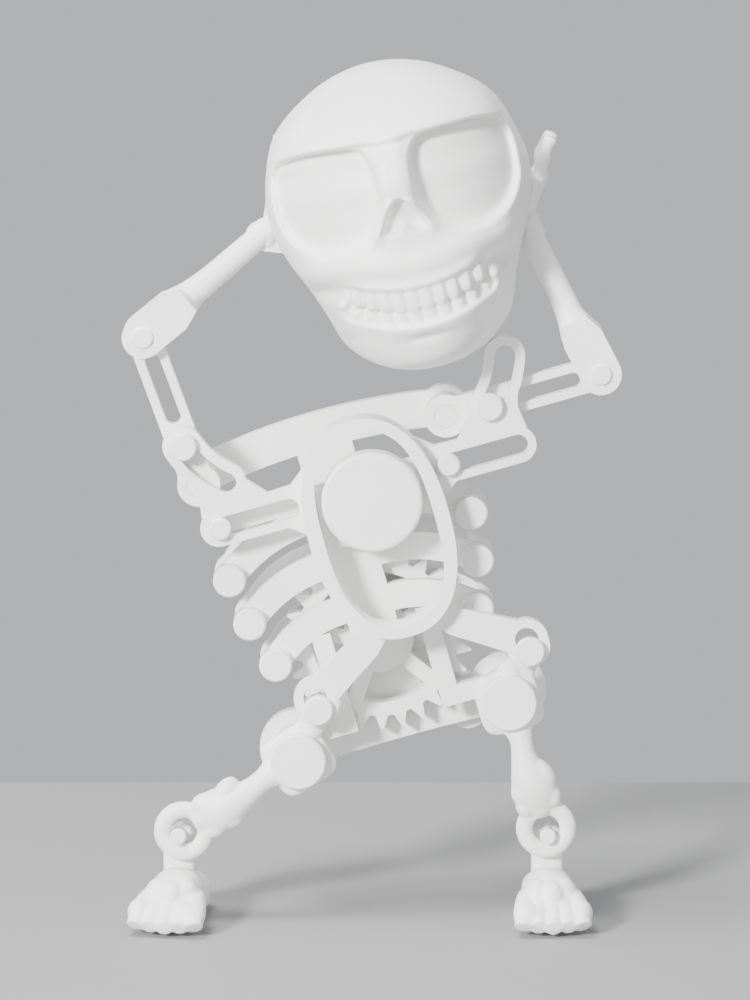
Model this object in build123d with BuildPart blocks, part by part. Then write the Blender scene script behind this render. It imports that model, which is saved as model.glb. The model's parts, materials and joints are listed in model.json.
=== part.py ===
"""Dancing skeleton figure: a hand-cranked, free-standing mechanical toy.

Frame: +Z up, the figure faces -Y, +X is the right of someone who faces it. The soles stand on
Z = 0. Every mechanism part is flat and lies in a layer parallel to the XZ plane, so each body
has a Pose (a place and an angle in XZ) and each sheet a Layer (its back and front Y).
"""
from build123d import *
import os
from math import acos, atan2, cos, degrees, hypot, pi, radians, sin, sqrt, tan
from typing import NamedTuple

# ---------------------------------------------------------------- driving dimensions (mm, degrees)
HIP_HALF = 21.5            # hip pivots, from the spine
HIP_DROP = 41.2            # hip pivots, below the eccentric shaft
LEG_LENGTH = 28.2          # hip pivot to ankle pivot
LEG_SPLAY = 36.7           # a leg from the torso's down at mid stroke
LEG_SWING = 36.3           # a leg from mid stroke to either end
LEVER_LENGTH = 11.5        # hip pivot to the pin that the yoke drives
ANKLE_HEIGHT = 17.6        # ankle pivot above the floor

SHOULDER_HALF = 25.0       # shoulder pivots, from the spine
SHOULDER_RISE = 16.8       # shoulder pivots, above the eccentric shaft
ARM_LENGTH = 31.2          # shoulder pivot to elbow pivot
ARM_LOW = 0.0              # the lower end of an arm's swing, above straight out
ARM_HIGH = 86.0            # the upper end of it
ARM_PEG = 8.7              # shoulder pivot to the peg that the yoke drives
FOREARM_LENGTH = 30.7      # elbow pivot to wrist
FOREARM_RAISED = 23.6      # forearm, above straight in, where the arm is high
FOREARM_LOWERED = 78.5     # forearm, above straight in, where the arm is low
HEAD_REACH = 40.9          # elbow pivot to head pivot
HEAD_BEND = 12.6           # head pivot, below the forearm's own line
HEAD_OVER_PINS = 2.2       # head centre above the line of its two pivots
HEAD_ASIDE = 1.5           # head centre to the right of the middle between them

SKULL_HALF = 26.0          # half the skull's width
SKULL_TOP = 29.4           # crown above the head centre
SKULL_BOTTOM = 30.2        # chin below the head centre
SKULL_VOID = 18.0          # radius of the hollow inside
EYE_OUT = 13.4             # eye socket centres, from the middle
EYE_UP = 3.4               # eye socket centres, above the head centre
EYE_WIDE = 20.6
EYE_HIGH = 20.0
EYE_FLOOR = 17.6           # eye socket floors, in front of the flat back
MOUTH_WIDE = 22.0

ECCENTRIC_THROW = 8.6      # eccentric shaft to disc centre
RING_WIDE = 22.0           # yoke's oval, inside
RING_HIGH = 38.8
RING_POWER = 2.6           # 2 for an ellipse, more for a squarer oval
RING_WALL = 2.9
RING_END_WALL = 2.6
RING_OUTER_POWER = 2.3
RING_DEEP = 6.4
DISC_DEEP = 4.6
DISC_GAP = 1.2             # disc to oval at its waist: the play that the crank angle needs

GEAR_TEETH = 27
PINION_TEETH = 9
GEAR_DROP = 23.1           # gear shaft below the eccentric shaft
GEAR_THICK = 3.6
GEAR_RIM = 2.7
GEAR_HUB = 7.0
GEAR_SPOKES = 5
SPOKE_WIDE = 3.0
TOOTH_SHARE = 0.36         # tooth thickness at the pitch line, as a share of the pitch
TOOTH_FLANK = 21.0         # flank angle
TIP_GAP = 0.35             # tooth tip to the other gear's root

SHAFT = 5.0                # diameters of shafts, pins and pegs
HIP_PIN = 5.0
LEG_PIN = 4.0
SHOULDER_PIN = 4.4
PEG = 3.4
ELBOW_PIN = 3.4
ANKLE_PIN = 2.2
HEAD_PIN = 4.0
POST = 3.2
KNOB_PIN = 3.2

PIN_HEAD = 5.8             # heads of the small pins
GUIDE_HEAD = 4.4           # heads of the guide pins, which pass close to the oval
PIN_HEAD_THICK = 1.3
HEAD_CHAMFER = 0.3
HIP_CAP = 11.0
HIP_CAP_THICK = 2.0
POST_KNOB = 6.4
POST_KNOB_THICK = 2.6
HEAD_PIN_CAP = 7.0
ANKLE_HEAD = 3.2

RUN_FIT = 0.05             # radial, in a bearing hole
PUSH_FIT = 0.02            # radial, in a hole that grips
SLIDE_FIT = 0.3            # radial, in a slot
LAYER_GAP = 0.4            # between sheets that move past each other
EYELET_HOLE = 5.4          # the loose hole at the foot of a leg
EYELET = 12.2

YOKE_THICK = 2.4
LINK_THICK = 2.6
RIB_THICK = 2.2
BACK_THICK = 2.6

CRANK_LENGTH = 24.0
CRANK_THICK = 3.4
CRANK_ANGLE = -58.0        # crank arm at rest, from +X in the torso's frame
KNOB_LENGTH = 13.0
KNOB_WIDE = 9.0

FOOT_WIDE = 14.6
FOOT_FRONT = 21.5          # toe tips in front of the middle layer
FOOT_BACK = 8.5
FOOT_POST_WIDE = 6.4
POST_WALL = 1.0            # post over the ankle pin
POST_FOOT = 2.0            # foot of the post, inside the sole block
TOE_COUNT = 5
TOE_ROOM = 2.6             # toe tips in front of the toes' middles
TOES_OUT = {"left": 10.0, "right": 3.0}    # each foot at rest, turned outwards about its ankle

HAND_LENGTH = 17.4
HAND_THICK = 4.2
HAND_WIDE = 9.6
HAND_BEND = 47.0           # hand, turned towards the head from the forearm's line


# ---------------------------------------------------------------- frames and layers
class Layer(NamedTuple):
    """A sheet's place in depth: its back (larger Y) and front (smaller Y)."""

    back: float
    front: float

    @property
    def deep(self):
        return self.back - self.front


class Pose(NamedTuple):
    """A body's place and turn in the XZ plane."""

    x: float
    z: float
    angle: float

    def at(self, u, v):
        """World x and z of the body's own point (u, v)."""
        c = cos(radians(self.angle))
        s = sin(radians(self.angle))
        return (self.x + u * c - v * s, self.z + u * s + v * c)

    def local(self, x, z):
        """The body's own (u, v) of the world point x, z."""
        c = cos(radians(self.angle))
        s = sin(radians(self.angle))
        return ((x - self.x) * c + (z - self.z) * s, (z - self.z) * c - (x - self.x) * s)

    def plane(self, y):
        """Sketch plane of the body at depth y, its normal towards the viewer."""
        turn = radians(self.angle)
        return Plane(origin=(self.x, y, self.z), x_dir=(cos(turn), 0, sin(turn)), z_dir=(0, -1, 0))

    def moved_to(self, u, v, angle=0.0):
        """A pose at this body's point (u, v), turned by angle."""
        x, z = self.at(u, v)
        return Pose(x, z, self.angle + angle)


def polar(length, angle):
    """Point at a length and an angle in degrees."""
    return (length * cos(radians(angle)), length * sin(radians(angle)))


def between(a, b, share):
    """Value a share of the way from a to b."""
    return a + (b - a) * share


LINKS = Layer(-3.4, -3.4 - LINK_THICK)
YOKE_PLATE = Layer(LINKS.front - LAYER_GAP, LINKS.front - LAYER_GAP - YOKE_THICK)
RING = Layer(YOKE_PLATE.back, YOKE_PLATE.back - RING_DEEP)
DISC = Layer(YOKE_PLATE.back - 0.8, YOKE_PLATE.back - 0.8 - DISC_DEEP)
RIBS = Layer(LINKS.back + LAYER_GAP + RIB_THICK, LINKS.back + LAYER_GAP)
GEARS = Layer(RIBS.back + 1.2 + GEAR_THICK, RIBS.back + 1.2)
BACK = Layer(GEARS.back + 1.2 + BACK_THICK, GEARS.back + 1.2)
CRANK = Layer(BACK.back + 0.6 + CRANK_THICK, BACK.back + 0.6)
KNOB = Layer(CRANK.back + LAYER_GAP + KNOB_LENGTH, CRANK.back + LAYER_GAP)
HEADS = Layer(YOKE_PLATE.front - 0.3, YOKE_PLATE.front - 0.3 - PIN_HEAD_THICK)
SKULL_BACK = -0.6
TAB = Layer(SKULL_BACK + 4.6, SKULL_BACK + 2.0)
HAND = Layer(SKULL_BACK + 1.2 + HAND_WIDE, SKULL_BACK + 1.2)

# ---------------------------------------------------------------- the linkage at rest
leg_reach = 2 * LEG_LENGTH * sin(radians(LEG_SPLAY))
stance_x = 2 * HIP_HALF + leg_reach * cos(radians(LEG_SWING))
stance_z = leg_reach * sin(radians(LEG_SWING))
TILT = degrees(atan2(stance_z, stance_x))
STANCE = hypot(stance_x, stance_z)
YOKE_THROW = LEVER_LENGTH * sin(radians(LEG_SWING))
DISC_ANGLE = degrees(acos(YOKE_THROW / ECCENTRIC_THROW))


def ankle_in_leg(side):
    """Ankle pivot in the leg's own frame, whose lever points up."""
    splay = radians(LEG_SPLAY)
    return (side * LEG_LENGTH * sin(splay), -LEG_LENGTH * cos(splay))


def leg_pose(side):
    """Leg frame at its hip pivot."""
    angle = TILT - LEG_SWING
    u, v = ankle_in_leg(side)
    swing = Pose(0, 0, angle)
    dx, dz = swing.at(u, v)
    return Pose(side * STANCE / 2 - dx, ANKLE_HEIGHT - dz, angle)


hip_left = leg_pose(-1)
torso_origin = Pose(hip_left.x, hip_left.z, TILT).at(HIP_HALF, HIP_DROP)
TORSO = Pose(torso_origin[0], torso_origin[1], TILT)
YOKE = TORSO.moved_to(YOKE_THROW, 0)
ECCENTRIC = TORSO.moved_to(0, 0, DISC_ANGLE)
GEAR = TORSO.moved_to(0, -GEAR_DROP)
CRANK_POSE = GEAR.moved_to(0, 0, CRANK_ANGLE)


def arm_angle(side, share):
    """Arm direction in the torso's frame, a share of the way from rest to the other end."""
    if side > 0:
        return between(ARM_LOW, ARM_HIGH, share)
    return between(180 - ARM_HIGH, 180 - ARM_LOW, share)


def forearm_angle(side, share):
    """Forearm direction in the torso's frame."""
    if side > 0:
        return between(180 - FOREARM_LOWERED, 180 - FOREARM_RAISED, share)
    return between(FOREARM_RAISED, FOREARM_LOWERED, share)


def arm_pose(side, share=0.0, torso=TORSO):
    """Arm frame at its shoulder pivot, the arm along +u."""
    return torso.moved_to(side * SHOULDER_HALF, SHOULDER_RISE, arm_angle(side, share))


def forearm_pose(side, share=0.0, torso=TORSO):
    """Forearm frame at its elbow pivot, the forearm along +u."""
    elbow = arm_pose(side, share, torso).at(ARM_LENGTH, 0)
    return Pose(elbow[0], elbow[1], torso.angle + forearm_angle(side, share))


def head_pivot(side):
    """Head pivot in the forearm's own frame."""
    return polar(HEAD_REACH, side * HEAD_BEND)


def head_pose(share=0.0, torso=TORSO):
    """Head frame, from the left forearm, with the turn that the two pivots give it."""
    left = forearm_pose(-1, 0, torso).at(*head_pivot(-1))
    right = forearm_pose(1, 0, torso).at(*head_pivot(1))
    lean = degrees(atan2(right[1] - left[1], right[0] - left[0])) - torso.angle
    half = hypot(right[0] - left[0], right[1] - left[1]) / 2
    now = forearm_pose(-1, share, torso).at(*head_pivot(-1))
    pivot = Pose(now[0], now[1], torso.angle + lean * (1 - 2 * share))
    return pivot.moved_to(half + HEAD_ASIDE, HEAD_OVER_PINS)


HEAD = head_pose()
HEAD_LEAN = HEAD.angle - TORSO.angle
SIDES = {"left": -1, "right": 1}
pieces = {}


def keep(piece, name):
    """Label a finished piece and keep it for the export."""
    piece.label = name
    pieces[name] = piece


def arc_through(start, middle, end):
    """Arc through three sketch points, made outside any builder."""
    return ThreePointArc(start, middle, end)


def oval(half_wide, half_high, power, count=40):
    """Face inside |u / half_wide|^power + |v / half_high|^power = 1."""
    points = []
    for number in range(count):
        u, v = polar(1, 360 * number / count)
        reach = (abs(u) ** power + abs(v) ** power) ** (-1 / power)
        points.append(Vector(u * reach * half_wide, v * reach * half_high))
    return Face(Wire([Edge.make_spline(points, periodic=True)]))


# ---------------------------------------------------------------- torso
RIB_POSTS = ((24.6, -3.2), (23.2, -12.6), (20.6, -21.9))   # u and v of the three rib ends
RIB_ROOTS = (3.4, -6.2, -15.8)                             # where each rib leaves the sternum
RIB_WIDE = 5.4
STERNUM_HALF = 4.8
COLLAR_HALF = 11.4
GUIDE_PIN_OUT = 23.1
GUIDE_PIN_UP = 8.0
BAR_WIDE = 4.4
EYE_BOSS = 10.6
SHOULDER_BOSS = 6.8
SPINE_HALF = 5.6
STRUT_IN = 10.6            # middle of the upright strut down to each hip
STRUT_WIDE = 3.8
HIP_BAR_UP = 3.6           # hip bar above the hip pivots
RIB_RISE = 2.3             # front ribs' arch over the straight line to the posts
BACK_RIB_RISE = 3.4
SHOULDER_BAR_WIDE = 7.2
SHOULDER_BAR_RISE = 2.4
PELVIS_WIDE = 8.4
PELVIS_RISE = 0.6
BACK_HIP_BOSS = 15.6


def rib_arcs(side, rise):
    """Centre lines of one side's ribs: up from the sternum, then drooping to the posts."""
    arcs = []
    for (out, down), root in zip(RIB_POSTS, RIB_ROOTS):
        middle = (side * out * 0.58, between(root, down, 0.5) + rise)
        arcs.append(arc_through((0, root), middle, (side * out, down)))
    return arcs


def front_ribs():
    """Sternum, three pairs of ribs, the guide bar and the two struts down to the hips."""
    arcs = rib_arcs(-1, RIB_RISE) + rib_arcs(1, RIB_RISE)
    with BuildPart() as ribs:
        with BuildSketch(TORSO.plane(RIBS.back)):
            collar_top = GUIDE_PIN_UP + BAR_WIDE / 2
            with Locations((0, (collar_top + RIB_POSTS[2][1]) / 2)):
                Rectangle(2 * STERNUM_HALF, collar_top - RIB_POSTS[2][1])
            Polygon((-COLLAR_HALF, collar_top), (COLLAR_HALF, collar_top), (STERNUM_HALF, 1.0),
                    (-STERNUM_HALF, 1.0), align=None)
            with Locations((0, GUIDE_PIN_UP)):
                SlotCenterToCenter(2 * GUIDE_PIN_OUT, BAR_WIDE)
            for arc in arcs:
                SlotArc(arc, RIB_WIDE)
            for side in SIDES.values():
                with Locations(*[(side * out, down) for out, down in RIB_POSTS]):
                    Circle(POST_KNOB / 2)
                bar_level = HIP_BAR_UP - HIP_DROP
                strut_top = RIB_POSTS[2][1] + 1.0
                with Locations((side * STRUT_IN, (strut_top + bar_level) / 2)):
                    Rectangle(STRUT_WIDE, strut_top - bar_level + STRUT_WIDE)
                with Locations((side * (STRUT_IN + HIP_HALF) / 2, bar_level)):
                    Rectangle(HIP_HALF - STRUT_IN, STRUT_WIDE)
                with Locations((side * HIP_HALF, -HIP_DROP)):
                    Circle(EYE_BOSS / 2)
                with Locations((side * HIP_HALF, -HIP_DROP)):
                    Circle(HIP_PIN / 2 + PUSH_FIT, mode=Mode.SUBTRACT)
                with Locations((side * GUIDE_PIN_OUT, GUIDE_PIN_UP)):
                    Circle(PEG / 2 + PUSH_FIT, mode=Mode.SUBTRACT)
                with Locations(*[(side * out, down) for out, down in RIB_POSTS]):
                    Circle(POST / 2 + PUSH_FIT, mode=Mode.SUBTRACT)
            Circle(SHAFT / 2 + RUN_FIT, mode=Mode.SUBTRACT)
        extrude(amount=RIBS.deep)
    keep(ribs.part, "front_ribs")


def back_frame():
    """Spine, back ribs, shoulder bar and pelvis in one plate, with the pivot bosses."""
    arcs = rib_arcs(-1, BACK_RIB_RISE) + rib_arcs(1, BACK_RIB_RISE)
    shoulder_arc = arc_through((-SHOULDER_HALF, SHOULDER_RISE), (0, SHOULDER_RISE + SHOULDER_BAR_RISE),
                               (SHOULDER_HALF, SHOULDER_RISE))
    pelvis_arc = arc_through((-HIP_HALF, -HIP_DROP), (0, PELVIS_RISE - HIP_DROP), (HIP_HALF, -HIP_DROP))
    hips = [(side * HIP_HALF, -HIP_DROP) for side in SIDES.values()]
    shoulders = [(side * SHOULDER_HALF, SHOULDER_RISE) for side in SIDES.values()]
    posts = [(side * out, down) for side in SIDES.values() for out, down in RIB_POSTS]
    with BuildPart() as frame:
        with BuildSketch(TORSO.plane(BACK.back)):
            spine_top = SHOULDER_RISE + SHOULDER_BAR_RISE
            with Locations((0, (spine_top - HIP_DROP) / 2)):
                Rectangle(2 * SPINE_HALF, spine_top + HIP_DROP)
            for arc in arcs:
                SlotArc(arc, RIB_WIDE)
            SlotArc(shoulder_arc, SHOULDER_BAR_WIDE)
            SlotArc(pelvis_arc, PELVIS_WIDE)
            with Locations(*posts):
                Circle(POST_KNOB / 2)
            with Locations(*hips):
                Circle(BACK_HIP_BOSS / 2)
            with Locations(*shoulders):
                Circle(SHOULDER_BOSS / 2 + 1.2)
        extrude(amount=BACK.deep)
        with BuildSketch(TORSO.plane(BACK.front)):
            with Locations(*hips):
                Circle(EYE_BOSS / 2)
        extrude(amount=BACK.front - RIBS.back)
        with BuildSketch(TORSO.plane(BACK.front)):
            with Locations(*shoulders):
                Circle(SHOULDER_BOSS / 2)
        extrude(amount=BACK.front - LINKS.back - LAYER_GAP)
        with BuildSketch(TORSO.plane(BACK.back)):
            Circle(SHAFT / 2 + RUN_FIT)
            with Locations((0, -GEAR_DROP)):
                Circle(SHAFT / 2 + RUN_FIT)
            with Locations(*posts):
                Circle(POST / 2 + PUSH_FIT)
            with Locations(*hips):
                Circle(HIP_PIN / 2 + PUSH_FIT)
            with Locations(*shoulders):
                Circle(SHOULDER_PIN / 2 + PUSH_FIT)
        extrude(amount=BACK.back - LINKS.back, mode=Mode.SUBTRACT)
    keep(frame.part, "back_frame")


def round_pin(name, pose, shank, shank_layer, head, head_layer):
    """A pin of one solid: a shank and a head, both round and on the pose's origin."""
    with BuildPart() as pin:
        with BuildSketch(pose.plane(shank_layer.back)):
            Circle(shank / 2)
        extrude(amount=shank_layer.deep)
        with BuildSketch(pose.plane(head_layer.back)):
            Circle(head / 2)
        extrude(amount=head_layer.deep)
        head_first = head_layer.front < shank_layer.front + 0.01
        outer = pin.faces().sort_by(Axis.Y)[0 if head_first else -1]
        chamfer(outer.edges(), HEAD_CHAMFER)
    keep(pin.part, name)


def torso_pins():
    """Rib posts, guide pins, shoulder pins and the capped hip pins."""
    for word, side in SIDES.items():
        for number, (out, down) in enumerate(RIB_POSTS, start=1):
            knob = Layer(RIBS.front, RIBS.front - POST_KNOB_THICK)
            round_pin(f"rib_post_{word}_{number}", TORSO.moved_to(side * out, down), POST,
                      Layer(BACK.back, RIBS.front), POST_KNOB, knob)
        guide = TORSO.moved_to(side * GUIDE_PIN_OUT, GUIDE_PIN_UP)
        round_pin(f"guide_pin_{word}", guide, PEG, Layer(RIBS.back, HEADS.back), GUIDE_HEAD, HEADS)
        shoulder = TORSO.moved_to(side * SHOULDER_HALF, SHOULDER_RISE)
        shank = Layer(BACK.back, LINKS.front)
        flange = Layer(BACK.back + 1.2, BACK.back)
        round_pin(f"shoulder_pin_{word}", shoulder, SHOULDER_PIN, shank, PIN_HEAD, flange)
        hip = TORSO.moved_to(side * HIP_HALF, -HIP_DROP)
        cap = Layer(LINKS.front - 0.3, LINKS.front - 0.3 - HIP_CAP_THICK)
        round_pin(f"hip_pin_{word}", hip, HIP_PIN, Layer(BACK.back, cap.back), HIP_CAP, cap)


# ---------------------------------------------------------------- yoke
GUIDE_SLOT_RAIL = 1.6
GUIDE_SLOT_EXTRA = 0.6     # a guide slot's length beyond the pin's travel
LOOP_RAIL = 1.9
LOOP_EXTRA = 0.10          # share of the stroke that the sloped slots run on past the peg
LEG_SLOT_EXTRA = 0.3       # a leg slot's length beyond the pin's travel
LOOP_FLOOR = 0.9           # wall under a leg slot, which passes close over the hip cap
LOOP_ROOF = 1.8            # wall over a leg slot


def peg_in_yoke(side, share):
    """Where an arm's peg stands in the yoke's frame."""
    u, v = polar(ARM_PEG, arm_angle(side, share))
    return (side * SHOULDER_HALF + u - YOKE_THROW * (1 - 2 * share), SHOULDER_RISE + v)


def peg_arc(side, start, end):
    """Arc that the peg follows in the yoke's frame, for a span of the stroke."""
    return arc_through(peg_in_yoke(side, start), peg_in_yoke(side, (start + end) / 2),
                       peg_in_yoke(side, end))


def leg_slot_span():
    """Middle height and travel of a leg's pin in the yoke's frame."""
    low = -HIP_DROP + LEVER_LENGTH * cos(radians(LEG_SWING))
    high = -HIP_DROP + LEVER_LENGTH
    return ((low + high) / 2, high - low)


def yoke():
    """The sliding yoke: oval ring, shoulder plates with sloped slots, and the leg loops."""
    spans = {1: (-0.04, 1 + LOOP_EXTRA), -1: (-LOOP_EXTRA, 1.04)}
    arcs = {side: peg_arc(side, *spans[side]) for side in SIDES.values()}
    slot = PEG + 2 * SLIDE_FIT
    leg_slot = LEG_PIN + 2 * SLIDE_FIT
    middle, travel = leg_slot_span()
    outer_high = RING_HIGH + 2 * RING_END_WALL
    outer_wide = RING_WIDE + 2 * RING_WALL
    guide_half = PEG / 2 + SLIDE_FIT
    slot_out = GUIDE_PIN_OUT + YOKE_THROW + GUIDE_SLOT_EXTRA / 2
    outside = oval(outer_wide / 2, outer_high / 2, RING_OUTER_POWER)
    inside = oval(RING_WIDE / 2, RING_HIGH / 2, RING_POWER)
    with BuildPart() as body:
        with BuildSketch(YOKE.plane(YOKE_PLATE.back)):
            add(outside)
            for side in SIDES.values():
                low = GUIDE_PIN_UP - guide_half - GUIDE_SLOT_RAIL
                high = GUIDE_PIN_UP + guide_half + GUIDE_SLOT_RAIL
                edge = outer_wide / 2 - 1.5
                Polygon((side * edge, low - 3.4), (side * (edge + 4.5), low), (side * slot_out, low),
                        (side * slot_out, high), (side * (edge + 2.2), high + 0.6),
                        (side * (edge - 1.4), high + 3.4), align=None)
                with Locations((side * slot_out, GUIDE_PIN_UP)):
                    Circle(guide_half + GUIDE_SLOT_RAIL)
                start = peg_in_yoke(side, 0.5 - side * 0.5)
                end = peg_in_yoke(side, 0.5 + side * 0.5)
                Polygon((side * (edge + 6.0), high - 0.4), (start[0] - side * 2.4, start[1] + 1.2),
                        (end[0] + side * 2.6, end[1]), (side * (slot_out + 2.0), high + 3.6),
                        (side * (slot_out + 2.6), high - 0.8), align=None)
                SlotArc(arcs[side], slot + 2 * LOOP_RAIL)
                Polygon((side * 6.4, -outer_high / 2 + 4.2), (side * HIP_HALF, middle + 5.0),
                        (side * HIP_HALF, middle - 3.0), (side * 7.4, -outer_high / 2 - 2.6),
                        (side * 4.4, -outer_high / 2 + 0.6), align=None)
                with Locations((side * HIP_HALF, middle + (LOOP_ROOF - LOOP_FLOOR) / 2)):
                    SlotOverall(travel + leg_slot + LEG_SLOT_EXTRA + LOOP_FLOOR + LOOP_ROOF,
                                leg_slot + 2 * LOOP_RAIL, rotation=90)
            add(inside, mode=Mode.SUBTRACT)
            for side in SIDES.values():
                with Locations((side * GUIDE_PIN_OUT, GUIDE_PIN_UP)):
                    SlotCenterToCenter(2 * YOKE_THROW + GUIDE_SLOT_EXTRA, 2 * guide_half, mode=Mode.SUBTRACT)
                SlotArc(arcs[side], slot, mode=Mode.SUBTRACT)
                with Locations((side * HIP_HALF, middle)):
                    SlotCenterToCenter(travel + LEG_SLOT_EXTRA, leg_slot, rotation=90,
                                       mode=Mode.SUBTRACT)
        extrude(amount=YOKE_PLATE.deep)
        with BuildSketch(YOKE.plane(RING.back)):
            add(outside)
            add(inside, mode=Mode.SUBTRACT)
        extrude(amount=RING.deep)
    keep(body.part, "yoke")


# ---------------------------------------------------------------- drive
MODULE = 2 * GEAR_DROP / (GEAR_TEETH + PINION_TEETH)
ADDENDUM = 0.92 * MODULE
DEDENDUM = ADDENDUM + TIP_GAP


def gear_outline(teeth, addendum, dedendum, phase):
    """Straight-flanked tooth outline, the first tooth at the phase angle."""
    pitch_radius = MODULE * teeth / 2
    half = pi * MODULE * TOOTH_SHARE / 2
    root_half = half + dedendum * tan(radians(TOOTH_FLANK))
    tip_half = half - addendum * tan(radians(TOOTH_FLANK))
    points = []
    for number in range(teeth):
        middle = phase + 360 * number / teeth
        for radius, offset in ((pitch_radius - dedendum, -root_half), (pitch_radius + addendum, -tip_half),
                               (pitch_radius + addendum, tip_half), (pitch_radius - dedendum, root_half)):
            points.append(polar(radius, middle + degrees(offset / radius)))
    return points


def eccentric():
    """The eccentric disc with its shaft, and the pinion pushed on to that shaft."""
    with BuildPart() as disc:
        with BuildSketch(ECCENTRIC.plane(DISC.back)):
            with Locations((ECCENTRIC_THROW, 0)):
                Circle(RING_WIDE / 2 - DISC_GAP)
        extrude(amount=DISC.deep)
        with BuildSketch(ECCENTRIC.plane(BACK.back)):
            Circle(SHAFT / 2)
        extrude(amount=BACK.back - DISC.back)
        front = disc.faces().sort_by(Axis.Y)[0]
        fillet(front.edges(), 0.8)
    keep(disc.part, "eccentric_disc")
    with BuildPart() as pinion:
        with BuildSketch(TORSO.plane(GEARS.back + 0.3)):
            Polygon(*gear_outline(PINION_TEETH, ADDENDUM, DEDENDUM, -90), align=None)
            Circle(SHAFT / 2 + PUSH_FIT, mode=Mode.SUBTRACT)
        extrude(amount=GEARS.deep + 0.6)
    keep(pinion.part, "pinion")


def handle():
    """Drive gear, handle shaft, crank arm, the knob's pin and the free-turning knob."""
    tooth_step = 360 / GEAR_TEETH
    root = MODULE * GEAR_TEETH / 2 - DEDENDUM
    with BuildPart() as gear:
        with BuildSketch(GEAR.plane(GEARS.back)):
            Polygon(*gear_outline(GEAR_TEETH, ADDENDUM, DEDENDUM, 90 + tooth_step / 2), align=None)
            Circle(root - GEAR_RIM, mode=Mode.SUBTRACT)
            with PolarLocations(0, GEAR_SPOKES, start_angle=90):
                with Locations((root / 2, 0)):
                    Rectangle(root - GEAR_RIM / 2, SPOKE_WIDE)
            Circle(GEAR_HUB)
            Circle(SHAFT / 2 + PUSH_FIT, mode=Mode.SUBTRACT)
        extrude(amount=GEARS.deep)
    keep(gear.part, "drive_gear")
    with BuildPart() as shaft:
        with BuildSketch(GEAR.plane(CRANK.back)):
            Circle(SHAFT / 2)
        extrude(amount=CRANK.back - GEARS.front)
        with BuildSketch(GEAR.plane(GEARS.front)):
            Circle(SHAFT / 2 + 1.0)
        extrude(amount=0.7)
    keep(shaft.part, "handle_shaft")
    with BuildPart() as arm:
        with BuildSketch(CRANK_POSE.plane(CRANK.back)):
            with Locations((CRANK_LENGTH / 2, 0)):
                SlotCenterToCenter(CRANK_LENGTH, 8.0)
            Circle(5.2)
            Circle(SHAFT / 2 + PUSH_FIT, mode=Mode.SUBTRACT)
            with Locations((CRANK_LENGTH, 0)):
                Circle(KNOB_PIN / 2 + PUSH_FIT, mode=Mode.SUBTRACT)
        extrude(amount=CRANK.deep)
    keep(arm.part, "crank_arm")
    knob_pose = CRANK_POSE.moved_to(CRANK_LENGTH, 0)
    head = Layer(KNOB.back + LAYER_GAP + 1.2, KNOB.back + LAYER_GAP)
    round_pin("knob_pin", knob_pose, KNOB_PIN, Layer(head.front, CRANK.front), PIN_HEAD, head)
    with BuildPart() as knob:
        with BuildSketch(knob_pose.plane(KNOB.back)):
            Circle(KNOB_WIDE / 2)
            Circle(KNOB_PIN / 2 + RUN_FIT, mode=Mode.SUBTRACT)
        extrude(amount=KNOB.deep)
        rims = knob.edges().filter_by(GeomType.CIRCLE).sort_by(SortBy.RADIUS)[-2:]
        chamfer(rims, 1.0)
    keep(knob.part, "crank_knob")


# ---------------------------------------------------------------- legs and feet
FEMUR = Layer(RIBS.back + 0.2, LINKS.front)
EYELET_SHIFT = EYELET_HOLE / 2 - ANKLE_PIN / 2 - 0.3


def leg(word, side):
    """Bell crank: lever and pin boss above the hip, thigh and shin bone and eyelet below."""
    pose = leg_pose(side)
    ankle = ankle_in_leg(side)
    along = (ankle[0] / LEG_LENGTH, ankle[1] / LEG_LENGTH)
    hole = (ankle[0] - EYELET_SHIFT * along[0], ankle[1] - EYELET_SHIFT * along[1])
    bone = [(between(0, ankle[0], share), between(0, ankle[1], share)) for share in (0.34, 0.62, 0.76)]
    with BuildPart() as body:
        with BuildSketch(pose.plane(LINKS.back)):
            Circle(6.4)
            with BuildSketch(mode=Mode.PRIVATE) as lever:
                Circle(3.0)
                with Locations((0, LEVER_LENGTH)):
                    Circle(2.7)
                make_hull()
            add(lever.sketch)
            with Locations(hole):
                Circle(EYELET / 2)
            with BuildSketch(mode=Mode.PRIVATE) as shank:
                with Locations(bone[0]):
                    Circle(2.4)
                with Locations(bone[2]):
                    Circle(3.6)
                make_hull()
            add(shank.sketch)
            with BuildSketch(mode=Mode.PRIVATE) as thigh:
                Circle(3.4)
                with Locations(bone[0]):
                    Circle(2.4)
                make_hull()
            add(thigh.sketch)
            Circle(HIP_PIN / 2 + RUN_FIT, mode=Mode.SUBTRACT)
            with Locations((0, LEVER_LENGTH)):
                Circle(LEG_PIN / 2 + PUSH_FIT, mode=Mode.SUBTRACT)
            with Locations(hole):
                Circle(EYELET_HOLE / 2, mode=Mode.SUBTRACT)
        extrude(amount=LINKS.deep)
        with BuildSketch(pose.plane(LINKS.back)):
            with BuildSketch(mode=Mode.PRIVATE) as calf:
                with Locations(bone[0]):
                    Circle(2.2)
                with Locations(bone[1]):
                    Circle(3.9)
                with Locations(bone[2]):
                    Circle(3.2)
                make_hull()
            add(calf.sketch)
        extrude(amount=LINKS.deep + 2.2)
    keep(body.part, f"leg_{word}")
    pin = pose.moved_to(0, LEVER_LENGTH)
    round_pin(f"leg_pin_{word}", pin, LEG_PIN, Layer(LINKS.back, HEADS.back), PIN_HEAD, HEADS)


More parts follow.
